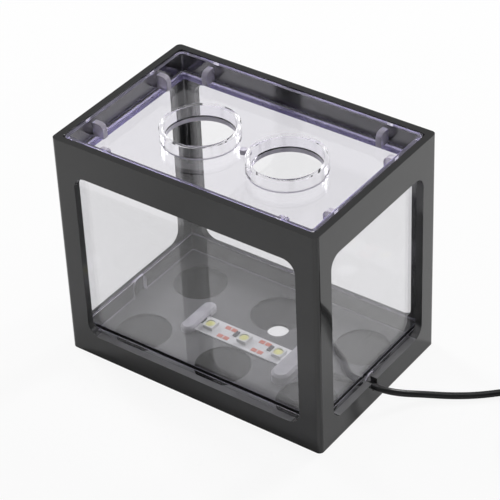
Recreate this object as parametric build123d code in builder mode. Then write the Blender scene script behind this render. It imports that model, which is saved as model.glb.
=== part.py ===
from build123d import *
import math
import os

# Desktop aquarium: an open black frame, a clear tank that lifts out of it, a clear lid
# with two round collars, and a USB light strip in the dry bay under the tank.
# Millimetres. +Z is up, +X runs along the long front, the front faces -Y.
# The origin is the middle of the frame's flat underside.

# Frame
FRAME_X = 120.0
FRAME_Y = 80.0
FRAME_Z = 100.0
WALL = 3.0
BASE = 2.0
POST_R = 2.0
POST_X = 9.5  # post width beside the front and back windows
POST_Y = 9.0  # post width beside the end windows
SILL_Z = 10.0
HEAD_Z = 86.0
WINDOW_R = 5.5
EDGE_R = 0.6
WELL_D = 22.5
WELL_DEPTH = 0.8
WELL_PITCH_X = 39.0
WELL_PITCH_Y = 38.0
FLOOR_HOLE_D = 9.0
FLOOR_HOLE_AT = (5.5, 11.0)

# Clearances
FIT = 0.3  # between the frame and what lifts out of it
CORD_FIT = 0.4  # round the lead in its notch

# Lead
CORD_D = 2.7
CORD_L = 1000.0
CORD_SIDES = 8
NOTCH_Y = -3.0
NOTCH_Z = 7.4

# Tank
TANK_WALL = 1.8
TANK_FLOOR = 1.8
TANK_FLOOR_Z = 10.9
TANK_TOP = 90.2
TANK_R = 2.5
ARCH_Y = -0.5
ARCH_R = 3.9
ARCH_TOP = 10.7

# Lid
LID_FLOOR = 1.8
LID_WALL = 1.6
LID_TOP = 99.6
LIP_DROP = 1.8
LIP_WALL = 1.5
COLLAR_X = 20.0
COLLAR_BORE_R = 14.0
COLLAR_WALL = 1.75
COLLAR_H = 5.2
TAB_T = 2.5
TAB_REACH = 5.0
TAB_H = 6.0
TAB_X = 40.5
TAB_Y = 20.0
GATE_R = 1.6
GATE_H = 1.8

# Light strip
STRIP_X = -1.5
STRIP_Y = -2.5
BOARD_L = 50.0
BOARD_W = 10.0
BOARD_T = 0.5
LED_PITCH = 16.6
LED_W = 5.0
LED_H = 1.6
LED_WINDOW_R = 2.05
LED_WINDOW_DEPTH = 0.3
RESISTOR = (1.6, 3.2, 0.6)
RESISTOR_GAP = 1.3
PAD = (2.4, 1.9, 0.12)
PAD_GAP = 0.5
PAD_Y = 2.9
CLIP_W = 6.0
CLIP_L = 20.0
CLIP_H = 2.6
CLIP_FIT = 0.3

# Plug
GRIP_L = 24.0
GRIP_W = 16.0
GRIP_H = 9.4
SLEEVE_L = 11.0
SLEEVE_D = 5.0
SHELL_L = 18.7
SHELL_W = 12.0
SHELL_H = 4.5
SHELL_T = 0.3
TONGUE_H = 1.9
CONTACT = (7.5, 1.0, 0.15)

IN_X = FRAME_X / 2 - WALL
IN_Y = FRAME_Y / 2 - WALL
TANK_X = IN_X - FIT
TANK_Y = IN_Y - FIT
LID_Z = TANK_TOP
STEP_TOP = LID_Z + LID_FLOOR


def write(part, label):
    """Names a finished piece and writes it."""
    part.label = label
    export_step(part, f"parts/{label}.step")
    print(label, round(part.volume, 1), "mm3")


os.makedirs("parts", exist_ok=True)

# Frame: one moulding with a floor, four windows and a notch for the lead. It is written as
# its floor and its four walls, so that each is a flat piece and the inside stays open.
with BuildPart() as frame:
    with BuildSketch(Plane.XY):
        RectangleRounded(FRAME_X, FRAME_Y, POST_R)
    extrude(amount=FRAME_Z)
    rims = frame.faces().filter_by(Axis.Z).edges()
    fillet(rims, EDGE_R)
    with BuildSketch(Plane.XY.offset(BASE)):
        Rectangle(2 * IN_X, 2 * IN_Y)
    extrude(amount=FRAME_Z - BASE, mode=Mode.SUBTRACT)
    mouth = frame.faces().filter_by(Axis.Z).sort_by(Axis.Z)[-1].inner_wires()[0].edges()
    fillet(mouth, EDGE_R)
    with BuildSketch(Plane.XZ):
        with Locations((0, (SILL_Z + HEAD_Z) / 2)):
            RectangleRounded(FRAME_X - 2 * POST_X, HEAD_Z - SILL_Z, WINDOW_R)
    extrude(amount=FRAME_Y, both=True, mode=Mode.SUBTRACT)
    with BuildSketch(Plane.YZ):
        with Locations((0, (SILL_Z + HEAD_Z) / 2)):
            RectangleRounded(FRAME_Y - 2 * POST_Y, HEAD_Z - SILL_Z, WINDOW_R)
    extrude(amount=FRAME_X, both=True, mode=Mode.SUBTRACT)
    # Notch in the right sill, with a round bottom
    with BuildSketch(Plane.YZ.offset(IN_X - 1)):
        with Locations((NOTCH_Y, NOTCH_Z)):
            Circle(CORD_D / 2 + CORD_FIT)
        with Locations((NOTCH_Y, NOTCH_Z + (SILL_Z - NOTCH_Z) / 2 + 0.5)):
            Rectangle(CORD_D + 2 * CORD_FIT, SILL_Z - NOTCH_Z + 1)
    extrude(amount=WALL + 2, mode=Mode.SUBTRACT)
    # Six shallow round wells in the floor and one hole through it
    with BuildSketch(Plane.XY.offset(BASE)):
        with GridLocations(WELL_PITCH_X, WELL_PITCH_Y, 3, 2):
            Circle(WELL_D / 2)
    extrude(amount=-WELL_DEPTH, mode=Mode.SUBTRACT)
    with BuildSketch(Plane.XY):
        with Locations(FLOOR_HOLE_AT):
            Circle(FLOOR_HOLE_D / 2)
    extrude(amount=BASE, mode=Mode.SUBTRACT)


def frame_piece(label, low, high):
    """Writes the stretch of the frame between two corners."""
    size = [b - a for a, b in zip(low, high)]
    with BuildPart() as piece:
        add(frame.part)
        with Locations(low):
            Box(*size, align=(Align.MIN, Align.MIN, Align.MIN), mode=Mode.INTERSECT)
    write(piece.part, label)


OUT_Y = FRAME_Y / 2
OUT_X = FRAME_X / 2
frame_piece("frame_floor", (-IN_X, -IN_Y, 0), (IN_X, IN_Y, BASE))
frame_piece("frame_front", (-OUT_X, -OUT_Y, 0), (OUT_X, -IN_Y, FRAME_Z))
frame_piece("frame_back", (-OUT_X, IN_Y, 0), (OUT_X, OUT_Y, FRAME_Z))
frame_piece("frame_left", (-OUT_X, -IN_Y, 0), (-IN_X, IN_Y, FRAME_Z))
frame_piece("frame_right", (IN_X, -IN_Y, 0), (OUT_X, IN_Y, FRAME_Z))

# Tank: a clear box whose walls run on below its floor as a skirt, with an arch at each end.
with BuildPart() as tank:
    with BuildSketch(Plane.XY.offset(BASE)):
        RectangleRounded(2 * TANK_X, 2 * TANK_Y, TANK_R)
    extrude(amount=TANK_TOP - BASE)
    with BuildSketch(Plane.XY.offset(TANK_FLOOR_Z + TANK_FLOOR)):
        RectangleRounded(2 * (TANK_X - TANK_WALL), 2 * (TANK_Y - TANK_WALL), TANK_R - 1)
    extrude(amount=TANK_TOP, mode=Mode.SUBTRACT)
    with BuildSketch(Plane.XY.offset(BASE)):
        RectangleRounded(2 * (TANK_X - TANK_WALL), 2 * (TANK_Y - TANK_WALL), TANK_R - 1)
    extrude(amount=TANK_FLOOR_Z - BASE, mode=Mode.SUBTRACT)
    with BuildSketch(Plane.YZ):
        with Locations((ARCH_Y, ARCH_TOP - ARCH_R)):
            Circle(ARCH_R)
        with Locations((ARCH_Y, (ARCH_TOP - ARCH_R) / 2)):
            Rectangle(2 * ARCH_R, ARCH_TOP - ARCH_R)
    extrude(amount=FRAME_X, both=True, mode=Mode.SUBTRACT)
write(tank.part, "tank")

# Lid: a tray with a raised rim, a lip that drops into the tank, eight tabs and two collars.
with BuildPart() as lid:
    with BuildSketch(Plane.XY.offset(LID_Z)):
        RectangleRounded(2 * TANK_X, 2 * TANK_Y, TANK_R)
    extrude(amount=LID_TOP - LID_Z)
    with BuildSketch(Plane.XY.offset(STEP_TOP)):
        RectangleRounded(2 * (TANK_X - LID_WALL), 2 * (TANK_Y - LID_WALL), TANK_R - 1)
    extrude(amount=LID_TOP, mode=Mode.SUBTRACT)
    lip_x = TANK_X - TANK_WALL - FIT
    lip_y = TANK_Y - TANK_WALL - FIT
    with BuildSketch(Plane.XY.offset(LID_Z)):
        RectangleRounded(2 * lip_x, 2 * lip_y, TANK_R - 1)
        RectangleRounded(2 * (lip_x - LIP_WALL), 2 * (lip_y - LIP_WALL), 0.5, mode=Mode.SUBTRACT)
    extrude(amount=-LIP_DROP)
    # Tabs: upright fins that stand in from the rim, their free top corner rounded off
    for turn, reach, spots in (
        (0, TANK_Y - LID_WALL, (-TAB_X, TAB_X)),
        (90, TANK_X - LID_WALL, (-TAB_Y, TAB_Y)),
        (180, TANK_Y - LID_WALL, (-TAB_X, TAB_X)),
        (270, TANK_X - LID_WALL, (-TAB_Y, TAB_Y)),
    ):
        for along in spots:
            side = Plane.XY.rotated((0, 0, turn))
            root = side.from_local_coords(Vector(along - TAB_T / 2, reach, STEP_TOP))
            inward = side.from_local_coords(Vector(0, -1, 0))
            across = side.from_local_coords(Vector(1, 0, 0))
            with BuildSketch(Plane(root, x_dir=inward, z_dir=across)) as fin:
                # The plane's own y may point up or down, so the fin's height follows it
                up = 1 if fin.workplanes[0].y_dir.Z > 0 else -1
                with BuildLine():
                    Polyline((-0.3, 0), (TAB_REACH, 0), (TAB_REACH, up * (TAB_H - TAB_REACH / 2)))
                    RadiusArc(
                        (TAB_REACH, up * (TAB_H - TAB_REACH / 2)),
                        (TAB_REACH / 2, up * TAB_H),
                        -up * TAB_REACH / 2,
                    )
                    Polyline((TAB_REACH / 2, up * TAB_H), (-0.3, up * TAB_H), (-0.3, 0))
                make_face()
            extrude(amount=TAB_T)
    with BuildSketch(Plane.XY.offset(STEP_TOP)):
        with GridLocations(2 * COLLAR_X, 1, 2, 1):
            Circle(COLLAR_BORE_R + COLLAR_WALL)
    extrude(amount=COLLAR_H)
    with BuildSketch(Plane.XY.offset(LID_Z - LIP_DROP)):
        with GridLocations(2 * COLLAR_X, 1, 2, 1):
            Circle(COLLAR_BORE_R)
    extrude(amount=LID_TOP, mode=Mode.SUBTRACT)
    with BuildSketch(Plane.XY.offset(STEP_TOP)):
        Circle(GATE_R)
    extrude(amount=GATE_H)
write(lid.part, "lid")

# Light strip: a white board on the frame's floor with three LEDs.
BOARD_Z = BASE + BOARD_T
with BuildPart() as board:
    with BuildSketch(Plane.XY.offset(BASE)):
        with Locations((STRIP_X, STRIP_Y)):
            Rectangle(BOARD_L, BOARD_W)
    extrude(amount=BOARD_T)
write(board.part, "strip_board")

led_spots = [STRIP_X + k * LED_PITCH for k in (-1, 0, 1)]
for count, x in enumerate(led_spots, 1):
    with BuildPart() as led:
        with BuildSketch(Plane.XY.offset(BOARD_Z)):
            with Locations((x, STRIP_Y)):
                Rectangle(LED_W, LED_W)
        extrude(amount=LED_H)
        chamfer(led.edges().filter_by(Axis.Z).sort_by(Axis.X)[:1], 0.7)
        with BuildSketch(Plane.XY.offset(BOARD_Z + LED_H)):
            with Locations((x, STRIP_Y)):
                Circle(LED_WINDOW_R)
        extrude(amount=-LED_WINDOW_DEPTH * 2, mode=Mode.SUBTRACT)
    write(led.part, f"led_body_{count}")
    with BuildPart() as window:
        with BuildSketch(Plane.XY.offset(BOARD_Z + LED_H - LED_WINDOW_DEPTH * 2)):
            with Locations((x, STRIP_Y)):
                Circle(LED_WINDOW_R)
        extrude(amount=LED_WINDOW_DEPTH)
    write(window.part, f"led_window_{count}")
    with BuildPart() as resistor:
        with BuildSketch(Plane.XY.offset(BOARD_Z)):
            with Locations((x - LED_W / 2 - RESISTOR_GAP - RESISTOR[0] / 2, STRIP_Y + 1.2)):
                Rectangle(RESISTOR[0], RESISTOR[1])
        extrude(amount=RESISTOR[2])
    write(resistor.part, f"resistor_{count}")

# Copper pads in pairs where the strip may be cut, between its LEDs
for count, x in enumerate((STRIP_X - LED_PITCH / 2, STRIP_X + LED_PITCH / 2), 1):
    with BuildPart() as pads:
        with BuildSketch(Plane.XY.offset(BOARD_Z)):
            with Locations((x, STRIP_Y)):
                with GridLocations(PAD[0] + PAD_GAP, 2 * PAD_Y, 2, 2):
                    Rectangle(PAD[0], PAD[1])
        extrude(amount=PAD[2])
    write(pads.part, f"copper_pads_{count}")

# Clips: soft bars with round ends that bridge the strip and hold it to the floor.
LEAD_Z = BASE + CORD_D / 2
LEAD_START_X = STRIP_X + BOARD_L / 2 + 0.4
with BuildPart() as left_clip:
    with BuildSketch(Plane.XY.offset(BASE)):
        with Locations((STRIP_X - BOARD_L / 2 + 1.5, STRIP_Y + 1.5)):
            SlotOverall(CLIP_L, CLIP_W, rotation=90)
    extrude(amount=CLIP_H)
    chamfer(left_clip.faces().sort_by(Axis.Z)[-1].edges(), 0.8)
    with BuildSketch(Plane.XY.offset(BASE)):
        with Locations((STRIP_X, STRIP_Y)):
            Rectangle(BOARD_L + 2 * CLIP_FIT, BOARD_W + 2 * CLIP_FIT)
    extrude(amount=BOARD_T + RESISTOR[2] + 0.2, mode=Mode.SUBTRACT)
write(left_clip.part, "clip_left")

RIGHT_CLIP_X = STRIP_X + BOARD_L / 2 + 0.8
RIGHT_CLIP_H = CORD_D + 1.7
with BuildPart() as right_clip:
    with BuildSketch(Plane.XY.offset(BASE)):
        with Locations((RIGHT_CLIP_X, STRIP_Y - 3)):
            SlotOverall(CLIP_L + 4, CLIP_W + 2, rotation=90)
    extrude(amount=RIGHT_CLIP_H)
    chamfer(right_clip.faces().sort_by(Axis.Z)[-1].edges(), 1.0)
    with BuildSketch(Plane.XY.offset(BASE)):
        with Locations((STRIP_X, STRIP_Y)):
            Rectangle(BOARD_L + 0.4, BOARD_W + 2 * CLIP_FIT)
    extrude(amount=BOARD_T, mode=Mode.SUBTRACT)
    with BuildSketch(Plane.YZ.offset(LEAD_START_X)):
        with Locations((STRIP_Y, LEAD_Z)):
            Circle(CORD_D / 2 + 0.15)
        with Locations((STRIP_Y, BASE + CORD_D / 4)):
            Rectangle(CORD_D + 0.3, CORD_D / 2)
    extrude(amount=CLIP_W + 4, mode=Mode.SUBTRACT)
write(right_clip.part, "clip_right")


def route_radii(points):
    """The largest radius at each corner of a route that its runs leave room for."""
    radii = []
    for a, b, c in zip(points, points[1:], points[2:]):
        run_in = Vector(*b) - Vector(*a)
        run_out = Vector(*c) - Vector(*b)
        half = math.radians(run_in.get_angle(run_out)) / 2
        radii.append(0.45 * min(run_in.length, run_out.length) / math.tan(half))
    return radii


def cord_section():
    """The lead's section in the sketch: eight-sided, so that the long winding stays light."""
    RegularPolygon(CORD_D / 2, CORD_SIDES)


def check_tube(solid, length, label):
    """Prints a tube's volume over its section times its length, which is 1 for a sound sweep."""
    section = CORD_SIDES / 2 * math.sin(2 * math.pi / CORD_SIDES) * CORD_D**2 / 4
    expected = section * length
    print(label, "volume over section times length", round(solid.volume / expected, 4))


def tube(points, label):
    """Sweeps the lead's section along straight runs joined by tangent arcs."""
    radii = route_radii(points)
    with BuildPart() as cord:
        with BuildLine() as route:
            FilletPolyline(*points, radius=radii)
        start = Plane(points[0], z_dir=Vector(*points[1]) - Vector(*points[0]))
        with BuildSketch(start):
            cord_section()
        sweep(path=route.wire())
    length = route.wire().length
    print(label, "radii", [round(r, 1) for r in radii], "length", round(length, 1))
    check_tube(cord.part, length, label)
    write(cord.part, label)
    return length


# Lead inside the dry bay: from the strip along the floor, up through the arch to the notch.
bay_route = [
    (LEAD_START_X, STRIP_Y, LEAD_Z),
    (31.0, STRIP_Y, LEAD_Z),
    (39.0, -3.2, LEAD_Z),
    (47.6, -2.3, 3.9),
    (55.2, NOTCH_Y + 0.35, NOTCH_Z - 0.2),
    (OUT_X, NOTCH_Y, NOTCH_Z),
]
bay_length = tube(bay_route, "lead_bay")

# Lead on the table: out of the notch, down to the table and along it to the coil.
FLAT_Z = CORD_D / 2
COIL_AT = (133.7, 18.4)
COIL_TURN = 110.0
table_route = [
    (OUT_X, NOTCH_Y, NOTCH_Z),
    (OUT_X + 3.6, NOTCH_Y - 0.2625, NOTCH_Z + 0.15),
    (68.8, 1.6, 4.7),
    (75.4, 9.0, 2.0),
    (83.6, 14.1, FLAT_Z),
    (93.0, 20.6, FLAT_Z),
    (103.0, 30.6, FLAT_Z),
]

# Coil of the length that isn't laid out: half turns that wind in on the lower layer,
# climb in the half turn where they reverse, and wind out again on the upper layer.
TURN_GAP = 0.45
TIE_ANGLE = 290.0
TIE_W = 4.0
TIE_T = 0.4
TIE_GAP = 0.1
STEP = CORD_D + TURN_GAP
COIL_MID_R = 5.15 * CORD_D
COIL_HALF_TURNS = 10
COIL_OUT_R = COIL_MID_R + COIL_HALF_TURNS / 4 * STEP
COIL_LOW_Z = FLAT_Z + TIE_T + TIE_GAP
COIL_HIGH_Z = COIL_LOW_Z + STEP
COIL_END = 9.0


def coil_point(x, y, z):
    """A point of the coil from its own axes, wound clockwise, to the part's."""
    turn = math.radians(COIL_TURN)
    return (
        COIL_AT[0] + x * math.cos(turn) + y * math.sin(turn),
        COIL_AT[1] + x * math.sin(turn) - y * math.cos(turn),
        z,
    )


def half_turn(x, side, radius, z):
    """Start, middle and end of a half turn that starts at x on the coil's own X axis."""
    centre = x - side * radius
    return (
        coil_point(x, 0, z),
        coil_point(centre, side * radius, z),
        coil_point(centre - side * radius, 0, z),
    )


coil_arcs = []
x_now = COIL_OUT_R
side_now = 1
for k in range(COIL_HALF_TURNS):
    radius = COIL_OUT_R - k * STEP / 2
    coil_arcs.append(half_turn(x_now, side_now, radius, COIL_LOW_Z))
    x_now -= side_now * 2 * radius
    side_now = -side_now
climb_radius = COIL_OUT_R - COIL_HALF_TURNS * STEP / 2
climb_from = x_now
climb_side = side_now
x_now -= side_now * 2 * climb_radius
side_now = -side_now
high_arcs = []
for k in range(COIL_HALF_TURNS - 1, 0, -1):
    radius = COIL_OUT_R - k * STEP / 2
    high_arcs.append(half_turn(x_now, side_now, radius, COIL_HIGH_Z))
    x_now -= side_now * 2 * radius
    side_now = -side_now

coil_start = coil_arcs[0][0]
coil_heading = (
    Vector(*coil_point(COIL_OUT_R, 1, COIL_LOW_Z)) - Vector(*coil_start)
).normalized()
coil_tail_start = high_arcs[-1][2]
tail_heading = (
    Vector(*coil_point(x_now, side_now, COIL_HIGH_Z)) - Vector(*coil_tail_start)
).normalized()
lead_in = Vector(*coil_start) - coil_heading * CORD_D
plug_at = Vector(*coil_tail_start) + tail_heading * COIL_END
table_route.append(tuple(lead_in - coil_heading * 9.0))
table_route.append(tuple(lead_in))
table_length = tube(table_route, "lead_run")

with BuildPart() as coil:
    with BuildLine() as winding:
        Line(lead_in, coil_start)
        for arc in coil_arcs:
            ThreePointArc(*arc)
        # The climb: two quarter turns, each tipped, that meet halfway up
        low = coil_point(climb_from, 0, COIL_LOW_Z)
        centre = climb_from - climb_side * climb_radius
        halfway = coil_point(centre, climb_side * climb_radius, (COIL_LOW_Z + COIL_HIGH_Z) / 2)
        high = coil_point(centre - climb_side * climb_radius, 0, COIL_HIGH_Z)
        flat = (Vector(*coil_point(0, climb_side, 0)) - Vector(*coil_point(0, 0, 0))).normalized()
        TangentArc(low, halfway, tangent=flat)
        TangentArc(high, halfway, tangent=flat)
        for arc in high_arcs:
            ThreePointArc(*arc)
        Line(coil_tail_start, plug_at)
    with BuildSketch(Plane(lead_in, z_dir=coil_heading)):
        cord_section()
    sweep(path=winding.wire())
coil_length = winding.wire().length
print("coil length", round(coil_length, 1), "arcs", len(winding.edges()))
print("whole lead", round(bay_length + table_length + coil_length, 1), "of", CORD_L)
check_tube(coil.part, coil_length, "lead_coil")
write(coil.part, "lead_coil")


def least_gap(line, length, samples=2600):
    """The least gap between turns of the winding, measured on points of its middle line."""
    places = [line.position_at(k / samples) for k in range(samples + 1)]
    skip = int(samples * 4 * CORD_D / length)
    nearest = min(
        (a - b).length
        for i, a in enumerate(places)
        for b in places[i + skip :: 2]
    )
    return nearest - CORD_D


print("least gap of the coil to itself", round(least_gap(winding.wire(), coil_length), 2))

# Tie: a flat band round one side of the coil, which lifts the coil by its thickness
coil_inner = climb_radius - CORD_D / 2
coil_outer = COIL_OUT_R + CORD_D / 2
tie_dir = Vector(math.cos(math.radians(TIE_ANGLE)), math.sin(math.radians(TIE_ANGLE)), 0)
tie_mid = Vector(*COIL_AT, 0) + tie_dir * (coil_inner + coil_outer) / 2
tie_plane = Plane(
    (tie_mid.X, tie_mid.Y, (COIL_LOW_Z + COIL_HIGH_Z) / 2),
    x_dir=tie_dir,
    z_dir=tie_dir.rotate(Axis.Z, 90),
)
tie_long = coil_outer - coil_inner + STEP + 2 * TIE_GAP
tie_high = COIL_HIGH_Z - COIL_LOW_Z + CORD_D + 2 * TIE_GAP
with BuildPart() as tie:
    with BuildSketch(tie_plane):
        RectangleRounded(tie_long + 2 * TIE_T, tie_high + 2 * TIE_T, CORD_D / 2 + TIE_T)
        RectangleRounded(tie_long, tie_high, CORD_D / 2, mode=Mode.SUBTRACT)
    extrude(amount=TIE_W / 2, both=True)
write(tie.part, "lead_tie")

# Plug: a USB-A plug at the lead's end, its grip flat on the table.
# Its own X axis runs out along the lead and its Z axis stays up.
plug_plane = Plane(plug_at, x_dir=tail_heading, z_dir=(0, 0, 1))
across = Plane(plug_at, x_dir=tail_heading.rotate(Axis.Z, 90), z_dir=tail_heading)


def plug_slice(distance):
    """A plane square to the plug at a distance from the lead's end."""
    return across.offset(distance)


with BuildPart() as sleeve:
    with BuildSketch(plug_slice(0)):
        Circle(CORD_D / 2 + 0.3)
    with BuildSketch(plug_slice(SLEEVE_L)):
        Circle(SLEEVE_D / 2)
    loft()
write(sleeve.part, "plug_sleeve")

with BuildPart() as grip:
    with BuildSketch(plug_slice(SLEEVE_L)):
        RectangleRounded(GRIP_W - 4, GRIP_H - 2, 2.0)
    with BuildSketch(plug_slice(SLEEVE_L + 5)):
        RectangleRounded(GRIP_W, GRIP_H, 2.0)
    loft()
    with BuildSketch(plug_slice(SLEEVE_L + 5)):
        RectangleRounded(GRIP_W, GRIP_H, 2.0)
    extrude(amount=GRIP_L - 5)
write(grip.part, "plug_grip")

SHELL_AT = SLEEVE_L + GRIP_L
with BuildPart() as shell:
    with BuildSketch(plug_slice(SHELL_AT)):
        RectangleRounded(SHELL_W, SHELL_H, 0.6)
        RectangleRounded(SHELL_W - 2 * SHELL_T, SHELL_H - 2 * SHELL_T, 0.3, mode=Mode.SUBTRACT)
    extrude(amount=SHELL_L)
    with BuildSketch(plug_plane.offset(-SHELL_H)):
        for y in (-3.0, 3.0):
            with Locations((SHELL_AT + 7.5, y)):
                Rectangle(2.2, 2.5)
    extrude(amount=2 * SHELL_H, mode=Mode.SUBTRACT)
write(shell.part, "plug_shell")

with BuildPart() as tongue:
    with BuildSketch(plug_slice(SHELL_AT)):
        with Locations((0, -(SHELL_H / 2 - SHELL_T - TONGUE_H / 2))):
            Rectangle(SHELL_W - 2 * SHELL_T - 0.7, TONGUE_H)
    extrude(amount=SHELL_L - 0.6)
write(tongue.part, "plug_tongue")

tongue_top = -(SHELL_H / 2 - SHELL_T - TONGUE_H)
with BuildPart() as contacts:
    with BuildSketch(plug_plane.offset(tongue_top)):
        for y in (-3.5, -1.0, 1.0, 3.5):
            with Locations((SHELL_AT + SHELL_L - 2 - CONTACT[0] / 2, y)):
                Rectangle(CONTACT[0], CONTACT[1])
    extrude(amount=CONTACT[2])
write(contacts.part, "plug_contacts")

tip = plug_at + tail_heading * (SHELL_AT + SHELL_L)
print("plug tip", [round(v, 2) for v in tip], "axis", [round(v, 4) for v in tail_heading])
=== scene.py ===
"""Desktop aquarium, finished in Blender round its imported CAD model.

It is an open black frame, a clear lift-out tank, a clear tray lid, a light strip and its lead.
"""

from __future__ import annotations

import logging
import math
from dataclasses import dataclass, field, replace
from enum import Enum
from typing import Callable, Sequence

import bmesh
import bpy
from mathutils import Matrix, Vector

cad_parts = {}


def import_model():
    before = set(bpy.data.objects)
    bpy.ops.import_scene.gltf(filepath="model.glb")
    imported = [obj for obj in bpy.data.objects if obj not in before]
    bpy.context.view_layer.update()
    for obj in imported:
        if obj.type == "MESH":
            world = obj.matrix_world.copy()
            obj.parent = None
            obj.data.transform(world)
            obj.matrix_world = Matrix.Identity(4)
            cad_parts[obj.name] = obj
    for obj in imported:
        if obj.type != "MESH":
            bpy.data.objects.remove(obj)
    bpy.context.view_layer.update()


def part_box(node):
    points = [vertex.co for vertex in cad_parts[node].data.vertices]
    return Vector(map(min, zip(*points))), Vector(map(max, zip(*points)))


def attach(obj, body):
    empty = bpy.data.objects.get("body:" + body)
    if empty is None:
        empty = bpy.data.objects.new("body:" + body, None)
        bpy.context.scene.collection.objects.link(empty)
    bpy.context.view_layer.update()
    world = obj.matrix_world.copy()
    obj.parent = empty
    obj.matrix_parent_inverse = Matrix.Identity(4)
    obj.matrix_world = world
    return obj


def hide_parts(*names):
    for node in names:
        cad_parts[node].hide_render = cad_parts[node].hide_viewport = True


log = logging.getLogger("aquarium")

Point = tuple[float, float, float]
Colour = tuple[float, float, float]
Test = Callable[[Vector, Vector], bool]

MM = 0.001
SLACK = 0.3 * MM  # A face whose middle is this near a level or a radius lies on it.
MARGIN = 0.1 * MM  # The same where the next face is close.
HAIR = 0.05 * MM  # Just off a level.
PAST = 5.0 * MM  # How far a cutter reaches past a piece on either side.
NEAR = 1e-6  # Corners of a tool this near a place, in metres, are at it.
MERGE = 1e-7  # Vertices this near each other, in metres, become one.
FULL_ROUND = 0.98  # The share of a slot's half width that a bevel can take at its end.
LEVEL = 0.9  # A face whose normal's Z is over this looks up.
UPRIGHT = 0.2  # A face whose normal's Z is under this stands upright.
FLAT = 0.97  # A face whose normal's Z is over this belongs to no rounding.
EVEN = 0.5  # The value that noise swings about.
COLOUR_A, COLOUR_B, COLOUR_OUT = 6, 7, 2  # A Mix node's sockets for colours.
WHITE = (1.0, 1.0, 1.0, 1.0)

FRAME_NODES = ("frame_floor", "frame_front", "frame_back", "frame_left", "frame_right")


class Body(Enum):
    """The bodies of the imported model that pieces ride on."""

    FRAME = "frame"
    TANK = "tank"
    LID = "lid"


class Cut(Enum):
    """How one solid changes another."""

    AWAY = "DIFFERENCE"
    ON = "UNION"


class Axis(Enum):
    """A level axis, by its place in a vector."""

    X = 0
    Y = 1


class Facing(Enum):
    """Which way a level face looks."""

    UP = 1
    DOWN = -1


class Value:
    """One number socket of a node tree, with arithmetic that adds Math nodes."""

    def __init__(self, paint: Paint, socket: bpy.types.NodeSocket) -> None:
        """Keeps the socket and the tree that it belongs to."""
        self.paint = paint
        self.socket = socket

    def _math(self, operation: str, first: Value | float, second: Value | float) -> Value:
        """Adds a Math node.

        Args:
            operation: The node's operation.
            first: The first operand.
            second: The second operand.

        Returns:
            The node's result.
        """
        made = self.paint.node("ShaderNodeMath", {"operation": operation}, {0: first, 1: second})
        return Value(self.paint, made.outputs[0])

    def __add__(self, other: Value | float) -> Value:
        """Sum."""
        return self._math("ADD", self, other)

    def __radd__(self, other: float) -> Value:
        """Sum with a plain number first."""
        return self._math("ADD", other, self)

    def __sub__(self, other: Value | float) -> Value:
        """Difference."""
        return self._math("SUBTRACT", self, other)

    def __rsub__(self, other: float) -> Value:
        """Difference from a plain number."""
        return self._math("SUBTRACT", other, self)

    def __mul__(self, other: Value | float) -> Value:
        """Product."""
        return self._math("MULTIPLY", self, other)

    def __rmul__(self, other: float) -> Value:
        """Product with a plain number first."""
        return self._math("MULTIPLY", other, self)

    def at_most(self, other: Value | float) -> Value:
        """The smaller of the two."""
        return self._math("MINIMUM", self, other)

    def at_least(self, other: Value | float) -> Value:
        """The larger of the two."""
        return self._math("MAXIMUM", self, other)


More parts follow.
